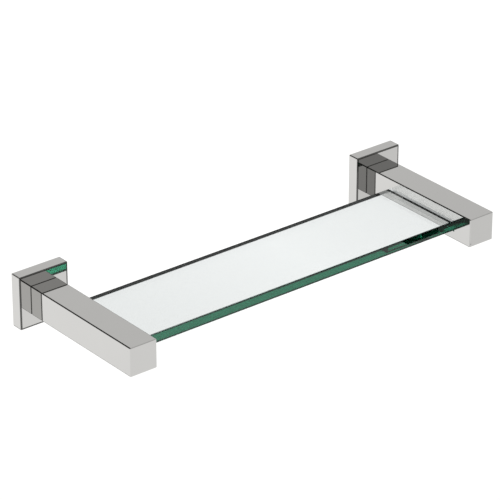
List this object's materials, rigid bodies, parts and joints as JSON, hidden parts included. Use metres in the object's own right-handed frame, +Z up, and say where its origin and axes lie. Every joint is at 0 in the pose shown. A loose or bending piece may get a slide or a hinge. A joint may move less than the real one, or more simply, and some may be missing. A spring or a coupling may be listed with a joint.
{
  "type": "wall shelf with brackets",
  "caption": "Narrow clear-glass wall shelf held in slots in square polished arms that stand out from square cover plates fixed to the wall.",
  "frame": {"origin": "on the wall's face, midway between the brackets, at the height of the arms' centres", "axes": "+X to the right along the wall, +Y into the wall, +Z up"},
  "size_m": [0.391, 0.16, 0.046],
  "materials": {
    "polished_metal": "mirror polished",
    "glass": "clear float glass, flat polished edges with ground arrises",
    "soft_seat": "matte black",
    "cast_plate": "plain zinc casting",
    "plain_steel": "bright zinc plated",
    "nylon": "moulded grey nylon"
  },
  "bodies": {
    "wall_fixings": {"left_wall_plate": "cast_plate", "right_wall_plate": "cast_plate", "left_upper_wall_screw": "plain_steel", "left_lower_wall_screw": "plain_steel", "right_upper_wall_screw": "plain_steel", "right_lower_wall_screw": "plain_steel", "left_upper_wall_plug": "nylon", "left_lower_wall_plug": "nylon", "right_upper_wall_plug": "nylon", "right_lower_wall_plug": "nylon"},
    "shelf": {"glass_shelf": "glass", "left_arm": "polished_metal", "left_rose": "polished_metal", "left_glass_seat": "soft_seat", "right_arm": "polished_metal", "right_rose": "polished_metal", "right_glass_seat": "soft_seat", "left_upper_arm_screw": "plain_steel", "left_lower_arm_screw": "plain_steel", "right_upper_arm_screw": "plain_steel", "right_lower_arm_screw": "plain_steel"},
    "left_set_screw": {"left_set_screw": "plain_steel"},
    "right_set_screw": {"right_set_screw": "plain_steel"}
  },
  "joints": [
    {"name": "shelf_lift_off", "type": "slide", "parent": "wall_fixings", "child": "shelf", "axis": [0, -1, 0], "range_m": [0, 0.03]},
    {"name": "left_set_screw_travel", "type": "slide", "parent": "shelf", "child": "left_set_screw", "axis": [0, 0, -1], "range_m": [0, 0.003]},
    {"name": "right_set_screw_travel", "type": "slide", "parent": "shelf", "child": "right_set_screw", "axis": [0, 0, -1], "range_m": [0, 0.003]}
  ]
}
